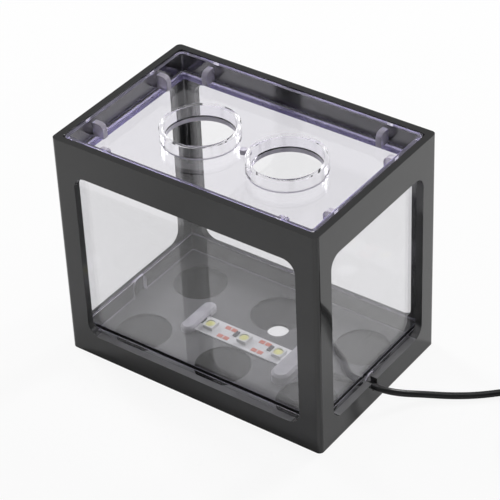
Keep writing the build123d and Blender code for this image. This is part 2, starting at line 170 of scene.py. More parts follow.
class Paint:
    """A material's or a world's node tree while it is being laid out."""

    def __init__(self, owner: bpy.types.Material | bpy.types.World) -> None:
        """Empties the owner's tree and keeps it."""
        owner.use_nodes = True
        self.tree = owner.node_tree
        self.tree.nodes.clear()

    def node(
        self,
        kind: str,
        settings: dict[str, object] | None = None,
        inputs: dict[str | int, object] | None = None,
    ) -> bpy.types.Node:
        """Adds a node, sets it up and feeds its sockets.

        Args:
            kind: The node's type name.
            settings: The node's own settings, such as a Math node's operation.
            inputs: A number, a colour, a Value or a socket for each named or numbered input.

        Returns:
            The node.
        """
        made = self.tree.nodes.new(kind)
        for name, setting in (settings or {}).items():
            setattr(made, name, setting)
        for name, given in (inputs or {}).items():
            socket = made.inputs[name]
            if isinstance(given, Value):
                self.tree.links.new(given.socket, socket)
            elif isinstance(given, bpy.types.NodeSocket):
                self.tree.links.new(given, socket)
            else:
                socket.default_value = given
        return made

    def value(self, node: bpy.types.Node, output: str | int = 0) -> Value:
        """A node's output as a Value."""
        return Value(self, node.outputs[output])

    def place(self) -> bpy.types.NodeSocket:
        """The piece's own coordinates, in metres."""
        return self.node("ShaderNodeTexCoord").outputs["Object"]

    def noise(self, scale: float, detail: float, roughness: float = 0.5) -> Value:
        """Noise over the piece.

        Args:
            scale: Waves per metre.
            detail: Octaves.
            roughness: How strong the finer octaves are.

        Returns:
            A value that swings about EVEN.
        """
        made = self.node(
            "ShaderNodeTexNoise",
            {},
            {"Vector": self.place(), "Scale": scale, "Detail": detail, "Roughness": roughness},
        )
        return self.value(made)

    def blend(self, mask: Value, low: Colour, high: Colour) -> bpy.types.NodeSocket:
        """A colour between two, by a mask.

        Args:
            mask: 0 for the first colour, 1 for the second.
            low: The first colour.
            high: The second colour.

        Returns:
            The colour's socket.
        """
        made = self.node(
            "ShaderNodeMix",
            {"data_type": "RGBA"},
            {"Factor": mask, COLOUR_A: (*low, 1.0), COLOUR_B: (*high, 1.0)},
        )
        return made.outputs[COLOUR_OUT]

    def vector(self, operation: str, first: object, second: object = None) -> bpy.types.Node:
        """Adds a Vector Math node.

        Args:
            operation: The node's operation.
            first: The first vector or its socket.
            second: The second, where the operation has two.

        Returns:
            The node.
        """
        given = {0: first} if second is None else {0: first, 1: second}
        return self.node("ShaderNodeVectorMath", {"operation": operation}, given)

    def bump(self, height: Value, strength: float, distance: float) -> bpy.types.NodeSocket:
        """A normal from a height that swings over a distance in metres."""
        made = self.node(
            "ShaderNodeBump", {}, {"Height": height, "Strength": strength, "Distance": distance}
        )
        return made.outputs["Normal"]

    def principled(self, inputs: dict[str | int, object]) -> bpy.types.Node:
        """A Principled shader with these inputs."""
        return self.node("ShaderNodeBsdfPrincipled", {}, inputs)

    def either(
        self, mask: Value, first: bpy.types.Node, second: bpy.types.Node
    ) -> bpy.types.NodeSocket:
        """A shader between two, by a mask.

        Args:
            mask: 0 for the first shader, 1 for the second.
            first: The first shader's node.
            second: The second shader's node.

        Returns:
            The shader's socket.
        """
        made = self.node(
            "ShaderNodeMixShader", {}, {0: mask, 1: first.outputs[0], 2: second.outputs[0]}
        )
        return made.outputs[0]

    def surface(self, shader: bpy.types.NodeSocket) -> None:
        """Ends the tree in a surface."""
        self.node("ShaderNodeOutputMaterial", {}, {"Surface": shader})

    def seen(self) -> Value:
        """1 for rays from the eye or through a clear piece, else 0."""
        ray = self.node("ShaderNodeLightPath")
        return self.value(ray, "Is Camera Ray").at_least(self.value(ray, "Is Transmission Ray"))


def toned(colour: Colour, times: float) -> Colour:
    """A colour made darker or lighter, up to white."""
    return tuple(min(1.0, channel * times) for channel in colour)


@dataclass(frozen=True)
class Finish:
    """A finish: a name and what its surface shader is set to."""

    name: str
    colour: Colour
    roughness: float = 0.4

    def material(self) -> bpy.types.Material:
        """Makes the finish's material once, under a name that no CAD slot has.

        Returns:
            The material.
        """
        label = f"{self.name}_finish"
        made = bpy.data.materials.get(label)
        if made is None:
            made = bpy.data.materials.new(label)
            paint = Paint(made)
            paint.surface(self.shade(paint))
        return made

    def shade(self, paint: Paint) -> bpy.types.NodeSocket:
        """The finish's shader."""
        raise NotImplementedError


@dataclass(frozen=True)
class MouldedGloss(Finish):
    """Polished moulding: an even colour, faint flow marks and fine handling haze."""

    haze: float = 0.06
    coat: float = 0.0
    drift: float = 0.15
    cloud_scale: float = 60.0
    speck: float = 0.03
    speck_scale: float = 2600.0
    flow: float = 0.02 * MM
    flow_scale: float = 35.0
    flow_strength: float = 0.25
    ior: float = 1.5

    def shade(self, paint: Paint) -> bpy.types.NodeSocket:
        """Lets colour and roughness drift a little, on a very slightly wavy surface.

        Args:
            paint: The material's tree.

        Returns:
            The shader's socket.
        """
        cloud = paint.noise(self.cloud_scale, detail=3.0)
        specks = paint.noise(self.speck_scale, detail=2.0)
        waves = paint.noise(self.flow_scale, detail=2.0)
        dark = toned(self.colour, 1.0 - self.drift)
        light = toned(self.colour, 1.0 + self.drift)
        rough = self.roughness + (cloud - EVEN) * self.haze + (specks - EVEN) * self.speck
        shader = paint.principled(
            {
                "Base Color": paint.blend(cloud, dark, light),
                "Roughness": rough,
                "IOR": self.ior,
                "Coat Weight": self.coat,
                "Normal": paint.bump(waves, self.flow_strength, self.flow),
            }
        )
        return shader.outputs[0]


@dataclass(frozen=True)
class ClearPlastic(Finish):
    """Clear moulding with a slight tint that gathers in its edges, and a light shadow."""

    ior: float = 1.5
    haze: float = 0.02
    cloud_scale: float = 90.0
    flow: float = 0.02 * MM
    flow_scale: float = 30.0
    flow_strength: float = 0.2
    shadow: Colour = (0.93, 0.93, 0.94)

    def shade(self, paint: Paint) -> bpy.types.NodeSocket:
        """Makes a refracting body that lets light through to what it covers.

        Args:
            paint: The material's tree.

        Returns:
            The shader's socket.
        """
        cloud = paint.noise(self.cloud_scale, detail=3.0)
        waves = paint.noise(self.flow_scale, detail=2.0)
        body = paint.principled(
            {
                "Base Color": (*self.colour, 1.0),
                "Roughness": self.roughness + cloud * self.haze,
                "IOR": self.ior,
                "Transmission Weight": 1.0,
                "Normal": paint.bump(waves, self.flow_strength, self.flow),
            }
        )
        through = paint.node("ShaderNodeBsdfTransparent", {}, {"Color": (*self.shadow, 1.0)})
        ray = paint.node("ShaderNodeLightPath")
        lit = paint.value(ray, "Is Shadow Ray").at_least(paint.value(ray, "Is Diffuse Ray"))
        return paint.either(lit, body, through)


@dataclass(frozen=True)
class SoftClear(Finish):
    """Translucent plastic, part clear and part milky, and a little uneven. On the clear pieces'
    edges and tabs the milky part paints the sheen and glints that they catch.
    """

    milk: float = 0.35
    patches: float = 0.3
    cloud_scale: float = 220.0
    lift: float = 0.1
    ior: float = 1.43
    milk_roughness: float = 0.3
    dimple: float = 0.15 * MM
    dimple_strength: float = 0.3

    def shade(self, paint: Paint) -> bpy.types.NodeSocket:
        """Mixes a clear and a milky body by cloudy patches.

        Args:
            paint: The material's tree.

        Returns:
            The shader's socket.
        """
        cloud = paint.noise(self.cloud_scale, detail=4.0)
        pale = toned(self.colour, 1.0 + self.lift)
        shared = {
            "Base Color": paint.blend(cloud, self.colour, pale),
            "Normal": paint.bump(cloud, self.dimple_strength, self.dimple),
        }
        clear = paint.principled(
            {
                **shared,
                "Roughness": self.roughness,
                "IOR": self.ior,
                "Transmission Weight": 1.0,
            }
        )
        milky = paint.principled({**shared, "Roughness": self.milk_roughness})
        return paint.either(self.milk + (cloud - EVEN) * self.patches, clear, milky)


@dataclass(frozen=True)
class Satin(Finish):
    """A plain satin surface with fine grain, for board, housings, jacket and grip."""

    grain: float = 900.0
    depth: float = 0.03 * MM
    drift: float = 0.12
    metal: float = 0.0
    coarser: float = 12.0
    gloss_drift: float = 0.15
    grain_strength: float = 0.4

    def shade(self, paint: Paint) -> bpy.types.NodeSocket:
        """Puts grain in the bump, and a small drift in tone and gloss.

        Args:
            paint: The material's tree.

        Returns:
            The shader's socket.
        """
        fine = paint.noise(self.grain, detail=3.0, roughness=0.6)
        cloud = paint.noise(self.grain / self.coarser, detail=3.0)
        dark = toned(self.colour, 1.0 - self.drift)
        light = toned(self.colour, 1.0 + self.drift)
        shader = paint.principled(
            {
                "Base Color": paint.blend(cloud, dark, light),
                "Roughness": self.roughness + (cloud - EVEN) * self.gloss_drift,
                "Metallic": self.metal,
                "Normal": paint.bump(fine, self.grain_strength, self.depth),
            }
        )
        return shader.outputs[0]


@dataclass(frozen=True)
class Gel(Finish):
    """The yellow gel in an LED: darker in the middle over the chip, paler towards the rim."""

    centre: tuple[float, float] = (0.0, 0.0)
    reach: float = 2.05 * MM
    rim: Colour = (0.97, 0.96, 0.46)
    coat: float = 0.5
    speck: float = 0.1
    speck_scale: float = 3000.0

    def shade(self, paint: Paint) -> bpy.types.NodeSocket:
        """Makes a round gradient about the LED's own middle.

        Args:
            paint: The material's tree.

        Returns:
            The shader's socket.
        """
        from_middle = paint.vector("SUBTRACT", paint.place(), (*self.centre, 0.0))
        level = paint.vector("MULTIPLY", from_middle.outputs[0], (1, 1, 0))
        distance = paint.value(paint.vector("LENGTH", level.outputs[0]), "Value")
        outward = (distance * (1.0 / self.reach)).at_most(1.0)
        specks = paint.noise(self.speck_scale, detail=2.0)
        shader = paint.principled(
            {
                "Base Color": paint.blend(outward, self.colour, self.rim),
                "Roughness": self.roughness + (specks - EVEN) * self.speck,
                "Coat Weight": self.coat,
            }
        )
        return shader.outputs[0]


FRAME_BLACK = MouldedGloss("frame_black", (0.048, 0.048, 0.0485), 0.04, haze=0.03, coat=0.3)
# Painted sheen: the sill tops are a paler grey than the frame's black, standing in for the light
# that they reflect.
SILL_PAINTED_SHEEN = MouldedGloss("sill_painted_sheen", (0.12, 0.12, 0.122), 0.3)
# Painted reflection: the floor's top is a paler grey than the frame's black, standing in for the
# bright surroundings that it reflects.
FLOOR_PAINTED_REFLECTION = MouldedGloss("floor_painted_reflection", (0.15, 0.15, 0.152), 0.2)
# Painted shade: the wells' bottoms are near black, far darker than the frame's black, standing in
# for the shade in these hollows.
WELL_PAINTED_SHADE = MouldedGloss("well_painted_shade", (0.003, 0.003, 0.003), 0.05)
TANK_CLEAR = ClearPlastic("tank_clear", (0.89, 0.888, 0.90), 0.0)
LID_CLEAR = ClearPlastic("lid_clear", (0.93, 0.92, 0.955), 0.0)
# Partly the plastic's lilac tint, which gathers in the rounded edges, and partly a painted sheen:
# the milky paleness stands in for the light that the edges catch.
EDGE_TINT_AND_PAINTED_SHEEN = SoftClear("edge_tint_and_painted_sheen", (0.74, 0.70, 0.90), 0.1, milk=0.2)
# Painted glints: a pale milky finish on the skirt's foot, the arches, the bores and the gate mark,
# standing in for the bright light that these edges catch.
EDGE_PAINTED_GLINT = SoftClear("edge_painted_glint", (0.86, 0.82, 0.98), 0.15, milk=0.7)
# The plastic's lilac tint, and a painted sheen: the milky paleness stands in for the light that
# the clear tabs catch.
TAB_TINT_AND_PAINTED_SHEEN = SoftClear("tab_tint_and_painted_sheen", (0.88, 0.84, 0.99), 0.12, milk=0.4)
LIP_VIOLET = SoftClear("lip_violet", (0.56, 0.50, 0.88), 0.1, milk=0.3)
CLIP_CLEAR = SoftClear("clip_clear", (0.95, 0.91, 1.0), 0.18, milk=0.55)
BOARD_WHITE = Satin("board_white", (0.9, 0.9, 0.89), 0.45)
LED_WHITE = Satin("led_white", (0.86, 0.86, 0.84), 0.35, grain=1500.0)
LED_GEL = Gel("gel", (0.96, 0.94, 0.24), 0.3)
CHIP_BLACK = Satin("chip_black", (0.03, 0.03, 0.032), 0.4, grain=2500.0)
COPPER = Satin("copper", (0.74, 0.20, 0.13), 0.6, grain=2200.0)
LEAD_JACKET = Satin("lead_jacket", (0.018, 0.018, 0.019), 0.38, grain=1400.0, depth=0.02 * MM)
GRIP_BLACK = Satin("grip_black", (0.022, 0.022, 0.023), 0.48, grain=1100.0, depth=0.04 * MM)
TIE_BLACK = Satin("tie_black", (0.02, 0.02, 0.02), 0.7, grain=1800.0, depth=0.1 * MM)
SHELL_STEEL = Satin("shell_steel", (0.72, 0.72, 0.74), 0.22, metal=1.0)
TONGUE_WHITE = Satin("tongue_white", (0.8, 0.8, 0.79), 0.5)
CONTACT_GOLD = Satin("contact_gold", (0.83, 0.6, 0.25), 0.25, grain=1500.0, metal=1.0)


class Bench:
    """Hand tools: primitives, edit-mode steps and modifiers that are applied at once."""

    @staticmethod
    def clear() -> None:
        """Leaves edit mode and deselects everything."""
        if bpy.context.object and bpy.context.object.mode != "OBJECT":
            bpy.ops.object.mode_set(mode="OBJECT")
        bpy.ops.object.select_all(action="DESELECT")

    @staticmethod
    def pick(piece: bpy.types.Object) -> None:
        """Makes a piece the only selected and the active one."""
        Bench.clear()
        piece.select_set(True)
        bpy.context.view_layer.objects.active = piece

    @staticmethod
    def settle(piece: bpy.types.Object) -> None:
        """Moves a piece's place, turn and scale into its mesh."""
        Bench.pick(piece)
        bpy.ops.object.transform_apply(location=True, rotation=True, scale=True)

    @staticmethod
    def block(
        name: str,
        low: Sequence[float],
        high: Sequence[float],
        corner: float = 0.0,
        steps: int = 8,
    ) -> bpy.types.Object:
        """A block between two corners, with rounded upright edges.

        Args:
            name: The piece's name.
            low: The lowest corner, in metres.
            high: The highest corner, in metres.
            corner: The radius of the upright edges.
            steps: Segments of each rounded edge.

        Returns:
            The block.
        """
        Bench.clear()
        middle = [(a + b) / 2 for a, b in zip(low, high)]
        bpy.ops.mesh.primitive_cube_add(size=1, location=middle)
        piece = bpy.context.object
        piece.name = name
        piece.scale = [b - a for a, b in zip(low, high)]
        Bench.settle(piece)
        if corner > 0:
            Bench.bevel_edges(piece, lambda a, b: (a.xy - b.xy).length < NEAR, corner, steps)
        return piece

    @staticmethod
    def rod(
        name: str, radius: float, foot: Point, length: float, sides: int = 96
    ) -> bpy.types.Object:
        """An upright round bar.

        Args:
            name: The piece's name.
            radius: Its radius.
            foot: The middle of its lower end.
            length: Its length.
            sides: Its sides.

        Returns:
            The bar.
        """
        Bench.clear()
        middle = Vector(foot) + Vector((0, 0, length / 2))
        bpy.ops.mesh.primitive_cylinder_add(
            vertices=sides, radius=radius, depth=length, location=middle
        )
        piece = bpy.context.object
        piece.name = name
        Bench.settle(piece)
        return piece

    @staticmethod
    def repeat(piece: bpy.types.Object, moves: Sequence[Matrix]) -> list[bpy.types.Object]:
        """Copies a piece to each place, each copy with its own mesh, and removes the first.

        Args:
            piece: The piece.
            moves: How each copy is moved from where the piece is.

        Returns:
            The copies.
        """
        copies = []
        for move in moves:
            made = piece.copy()
            made.data = piece.data.copy()
            made.data.transform(move)
            bpy.context.scene.collection.objects.link(made)
            copies.append(made)
        bpy.data.objects.remove(piece)
        return copies

    @staticmethod
    def bevel_edges(piece: bpy.types.Object, wanted: Test, size: float, steps: int) -> None:
        """Bevels the edges whose two ends pass a test.

        Args:
            piece: The piece.
            wanted: The test on an edge's ends.
            size: The bevel's size.
            steps: Its segments.
        """
        Bench.pick(piece)
        bpy.ops.object.mode_set(mode="EDIT")
        bpy.ops.mesh.select_mode(type="EDGE")
        bpy.ops.mesh.select_all(action="DESELECT")
        mesh = bmesh.from_edit_mesh(piece.data)
        for edge in mesh.edges:
            edge.select = wanted(edge.verts[0].co, edge.verts[1].co)
        bmesh.update_edit_mesh(piece.data)
        bpy.ops.mesh.bevel(offset=size, segments=steps, profile=0.5, affect="EDGES")
        bpy.ops.object.mode_set(mode="OBJECT")

    @staticmethod
    def press_in(
        piece: bpy.types.Object, height: float, facing: Facing, wall: float, move: float
    ) -> None:
        """Insets the largest level face at a height and pushes its inside along Z.

        Args:
            piece: The piece.
            height: The face's height.
            facing: The way it looks.
            wall: How far the face is inset.
            move: How far its inside moves.
        """
        Bench.pick(piece)
        bpy.ops.object.mode_set(mode="EDIT")
        bpy.ops.mesh.select_mode(type="FACE")
        bpy.ops.mesh.select_all(action="DESELECT")
        mesh = bmesh.from_edit_mesh(piece.data)
        level = [
            face
            for face in mesh.faces
            if face.normal.z * facing.value > FLAT
            and abs(face.calc_center_median().z - height) < NEAR
        ]
        max(level, key=lambda face: face.calc_area()).select = True
        bmesh.update_edit_mesh(piece.data)
        bpy.ops.mesh.inset(thickness=wall, depth=0)
        bpy.ops.mesh.extrude_region_move(TRANSFORM_OT_translate={"value": (0, 0, move)})
        bpy.ops.object.mode_set(mode="OBJECT")

    @staticmethod
    def combine(piece: bpy.types.Object, tools: Sequence[bpy.types.Object], how: Cut) -> None:
        """Cuts tools out of a piece, or fuses them on, and removes the tools.

        Args:
            piece: The piece.
            tools: The tools, used one after another.
            how: Whether they are cut out or fused on.
        """
        for tool in tools:
            Bench.pick(piece)
            change = piece.modifiers.new("combine", "BOOLEAN")
            change.operation = how.value
            change.solver = "EXACT"
            change.object = tool
            bpy.ops.object.modifier_apply(modifier=change.name)
            bpy.data.objects.remove(tool)

    @staticmethod
    def score(piece: bpy.types.Object, height: float) -> None:
        """Splits a piece's faces along a level line, and leaves its shape as it is.

        Args:
            piece: The piece.
            height: The line's height.
        """
        Bench.pick(piece)
        bpy.ops.object.mode_set(mode="EDIT")
        bpy.ops.mesh.select_all(action="SELECT")
        bpy.ops.mesh.bisect(plane_co=(0, 0, height), plane_no=(0, 0, 1))
        bpy.ops.object.mode_set(mode="OBJECT")

    @staticmethod
    def soften(
        piece: bpy.types.Object, width: float, steps: int = 2, sharp: float = 40.0
    ) -> None:
        """Rounds a piece's sharp edges and shades its curves smooth.

        Args:
            piece: The piece.
            width: The rounding's size.
            steps: Its segments.
            sharp: Edges that turn more than this are rounded, in degrees.
        """
        Bench.pick(piece)
        change = piece.modifiers.new("soften", "BEVEL")
        change.width = width
        change.segments = steps
        change.limit_method = "ANGLE"
        change.angle_limit = math.radians(sharp)
        bpy.ops.object.modifier_apply(modifier=change.name)
        Bench.smooth(piece)

    @staticmethod
    def smooth(piece: bpy.types.Object, curved: float = 35.0) -> None:
        """Merges doubles, and shades smooth where faces turn less than an angle.

        The normals are weighted by area, so that broad faces stay flat up to their rounded edges.

        Args:
            piece: The piece.
            curved: The angle, in degrees.
        """
        Bench.pick(piece)
        bpy.ops.object.mode_set(mode="EDIT")
        bpy.ops.mesh.select_all(action="SELECT")
        bpy.ops.mesh.remove_doubles(threshold=MERGE)
        bpy.ops.object.mode_set(mode="OBJECT")
        bpy.ops.object.shade_smooth_by_angle(angle=math.radians(curved))
        change = piece.modifiers.new("weigh", "WEIGHTED_NORMAL")
        change.mode = "FACE_AREA"
        change.weight = 100
        change.keep_sharp = True
        bpy.ops.object.modifier_apply(modifier=change.name)

    @staticmethod
    def dress(piece: bpy.types.Object, finish: Finish) -> None:
        """Gives a piece one finish all over."""
        piece.data.materials.clear()
        piece.data.materials.append(finish.material())

    @staticmethod
    def dress_faces(piece: bpy.types.Object, finish: Finish, wanted: Test) -> None:
        """Gives some of a piece's faces a finish of their own.

        Args:
            piece: The piece.
            finish: The finish.
            wanted: The test on a face's middle and normal.
        """
        piece.data.materials.append(finish.material())
        slot = len(piece.data.materials) - 1
        for face in piece.data.polygons:
            if wanted(face.center, face.normal):
                face.material_index = slot


def dress_nodes(finishes: dict[str, Finish]) -> list[bpy.types.Object]:
    """Dresses the CAD nodes that keep their shape.

    Args:
        finishes: The finish for each node's name.

    Returns:
        The nodes' objects.
    """
    pieces = []
    for node, finish in finishes.items():
        piece = bpy.data.objects[node]
        Bench.dress(piece, finish)
        pieces.append(piece)
    return pieces


def on_rounding(middle: Vector, normal: Vector) -> bool:
    """Whether a face belongs to the rounding of a level edge."""
    return UPRIGHT < abs(normal.z) < FLAT


def looks_up_at(height: float, middle: Vector, normal: Vector) -> bool:
    """Whether a face looks up at a height."""
    return normal.z > LEVEL and abs(middle.z - height) < SLACK


def report(piece: bpy.types.Object) -> None:
    """Logs a piece's name, size and faces."""
    size = [round(v / MM, 1) for v in piece.dimensions]
    faces = len(piece.data.polygons) if piece.type == "MESH" else 0
    log.info("%s %s mm, %d faces", piece.name, size, faces)


@dataclass
class Moulding:
    """A piece that is modelled anew in the box of its CAD nodes."""

    nodes: tuple[str, ...]
    low: Vector = field(init=False)
    high: Vector = field(init=False)

    def __post_init__(self) -> None:
        """Takes the lowest and highest corners of the nodes, in metres."""
        boxes = [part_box(node) for node in self.nodes]
        self.low = Vector(min(box[0][k] for box in boxes) for k in range(3))
        self.high = Vector(max(box[1][k] for box in boxes) for k in range(3))

    def inset_block(
        self, name: str, inset: float, foot: float, top: float, corner: float, steps: int = 8
    ) -> bpy.types.Object:
        """A block inside the moulding's outline.

        Args:
            name: The block's name.
            inset: How far it lies inside the outline.
            foot: The height of its underside.
            top: The height of its top.
            corner: The radius of its upright edges.
            steps: Segments of each rounded edge.

        Returns:
            The block.
        """
        low = (self.low.x + inset, self.low.y + inset, foot)
        high = (self.high.x - inset, self.high.y - inset, top)
        return Bench.block(name, low, high, corner, steps)


@dataclass
class BlackFrame(Moulding):
    """The open black frame: floor, four windows, a notch for the lead, six wells and a hole."""

    nodes: tuple[str, ...] = FRAME_NODES
    wall: float = 3.0 * MM
    base: float = 2.0 * MM
    post_r: float = 2.0 * MM
    inner_r: float = 1.2 * MM
    post_x: float = 9.5 * MM
    post_y: float = 9.0 * MM
    sill: float = 10.0 * MM
    head: float = 86.0 * MM
    window_r: float = 5.5 * MM
    edge: float = 0.5 * MM
    well_r: float = 11.25 * MM
    well_depth: float = 0.8 * MM
    well_pitch: tuple[float, float] = (39.0 * MM, 38.0 * MM)
    hole_r: float = 4.5 * MM
    hole_at: tuple[float, float] = (5.5 * MM, 11.0 * MM)
    notch_at: tuple[float, float] = (-3.0 * MM, 7.4 * MM)
    notch_r: float = 1.75 * MM

    def build(self) -> list[bpy.types.Object]:
        """Models the frame as one moulding in the place of its CAD walls and floor.

        Returns:
            The frame.
        """
        piece = Bench.block("frame_shell", self.low, self.high, self.post_r)
        above = self.high.z + self.wall
        inside = self.inset_block("inside", self.wall, self.base, above, self.inner_r, steps=4)
        Bench.combine(piece, [inside], Cut.AWAY)
        Bench.combine(piece, [self._window(Axis.Y), self._window(Axis.X)], Cut.AWAY)
        Bench.combine(piece, [self._notch(), *self._wells()], Cut.AWAY)
        Bench.soften(piece, self.edge, steps=3)
        Bench.dress(piece, FRAME_BLACK)
        # The sill tops get a paler grey, a painted sheen of reflected light.
        Bench.dress_faces(piece, SILL_PAINTED_SHEEN, self._on_sill)
        # The floor's top gets a paler grey, a painted reflection of the bright surroundings.
        Bench.dress_faces(piece, FLOOR_PAINTED_REFLECTION, self._on_floor)
        # The wells' bottoms get near black, painted shade in the hollows.
        Bench.dress_faces(piece, WELL_PAINTED_SHADE, self._in_well)
        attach(piece, Body.FRAME.value)
        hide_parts(*FRAME_NODES)
        return [piece]

    def _on_sill(self, middle: Vector, normal: Vector) -> bool:
        """Whether a face is the level top of a sill."""
        return looks_up_at(self.sill, middle, normal)

    def _on_floor(self, middle: Vector, normal: Vector) -> bool:
        """Whether a face is the level top of the floor."""
        inside = self.high.y - self.wall - MARGIN
        return looks_up_at(self.base, middle, normal) and abs(middle.y) < inside

    def _in_well(self, middle: Vector, normal: Vector) -> bool:
        """Whether a face is the bottom of a well."""
        return looks_up_at(self.base - self.well_depth, middle, normal)

    def _window(self, axis: Axis) -> bpy.types.Object:
        """A cutter for the windows in two opposite sides.

        Args:
            axis: The axis that it runs along.

        Returns:
            The cutter, rounded at its four long edges.
        """
        low = [self.low.x + self.post_x, self.low.y + self.post_y, self.sill]
        high = [self.high.x - self.post_x, self.high.y - self.post_y, self.head]
        k = axis.value
        low[k] = self.low[k] - PAST
        high[k] = self.high[k] + PAST
        tool = Bench.block("window", low, high)
        Bench.bevel_edges(tool, lambda a, b: abs(a[k] - b[k]) > PAST, self.window_r, steps=10)
        return tool

    def _notch(self) -> bpy.types.Object:
        """A cutter for the lead's notch in the right sill.

        Returns:
            The cutter, with a round bottom.
        """
        y, z = self.notch_at
        foot = z - self.notch_r
        low = (self.high.x - self.wall - MM, y - self.notch_r, foot)
        high = (self.high.x + MM, y + self.notch_r, self.sill + 2 * MM)
        tool = Bench.block("notch", low, high)
        Bench.bevel_edges(
            tool,
            lambda a, b: abs(a.x - b.x) > MM and max(a.z, b.z) < foot + NEAR,
            self.notch_r * FULL_ROUND,
            steps=10,
        )
        return tool

    def _wells(self) -> list[bpy.types.Object]:
        """Cutters for the floor.

        Returns:
            Six for the wells and one for the hole.
        """
        well = Bench.rod("well", self.well_r, (0, 0, self.base - self.well_depth), self.wall)
        pitch_x, pitch_y = self.well_pitch
        moves = [
            Matrix.Translation((x, y, 0))
            for x in (-pitch_x, 0.0, pitch_x)
            for y in (-pitch_y / 2, pitch_y / 2)
        ]
        hole = Bench.rod("hole", self.hole_r, (*self.hole_at, -MM), self.base + 2 * MM)
        return [*Bench.repeat(well, moves), hole]


@dataclass
class ClearTank(Moulding):
    """The clear tank: walls, a raised floor, and a skirt with an arch at each end."""

    nodes: tuple[str, ...] = ("tank",)
    wall: float = 1.8 * MM
    floor_low: float = 10.9 * MM
    floor_high: float = 12.7 * MM
    corner: float = 2.5 * MM
    arch_y: float = -0.5 * MM
    arch_r: float = 3.9 * MM
    arch_top: float = 10.7 * MM
    edge: float = 0.25 * MM

    def build(self) -> list[bpy.types.Object]:
        """Models the tank in the CAD tank's place.

        Returns:
            The tank.
        """
        low, high = self.low, self.high
        piece = Bench.block("tank_shell", low, high, self.corner)
        Bench.press_in(piece, high.z, Facing.UP, self.wall, self.floor_high - high.z)
        Bench.press_in(piece, low.z, Facing.DOWN, self.wall, self.floor_low - low.z)
        Bench.combine(piece, [self._arch()], Cut.AWAY)
        Bench.soften(piece, self.edge)
        Bench.dress(piece, TANK_CLEAR)
        # The roundings get the lilac tint and a painted sheen of caught light.
        Bench.dress_faces(piece, EDGE_TINT_AND_PAINTED_SHEEN, on_rounding)
        # The skirt's foot and the arches get painted glints.
        Bench.dress_faces(piece, EDGE_PAINTED_GLINT, self._on_foot)
        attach(piece, Body.TANK.value)
        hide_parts("tank")
        return [piece]

    def _arch(self) -> bpy.types.Object:
        """A cutter for the arch in both ends of the skirt.

        Returns:
            The cutter, with a round top.
        """
        low = (self.low.x - PAST, self.arch_y - self.arch_r, self.low.z - PAST)
        high = (self.high.x + PAST, self.arch_y + self.arch_r, self.arch_top)
        tool = Bench.block("arch", low, high)
        Bench.bevel_edges(
            tool,
            lambda a, b: abs(a.x - b.x) > PAST and min(a.z, b.z) > self.arch_top - NEAR,
            self.arch_r * FULL_ROUND,
            steps=16,
        )
        return tool

    def _on_foot(self, middle: Vector, normal: Vector) -> bool:
        """Whether a face belongs to the skirt's foot or lines an arch.

        Args:
            middle: The face's middle.
            normal: Its normal.

        Returns:
            True for such a face.
        """
        on_foot = normal.z < -UPRIGHT and middle.z < self.low.z + SLACK
        in_end = abs(middle.x) > self.high.x - self.wall - SLACK and abs(normal.x) < LEVEL
        beside = abs(middle.y - self.arch_y) < self.arch_r + SLACK
        return on_foot or (in_end and beside and middle.z < self.arch_top + SLACK)


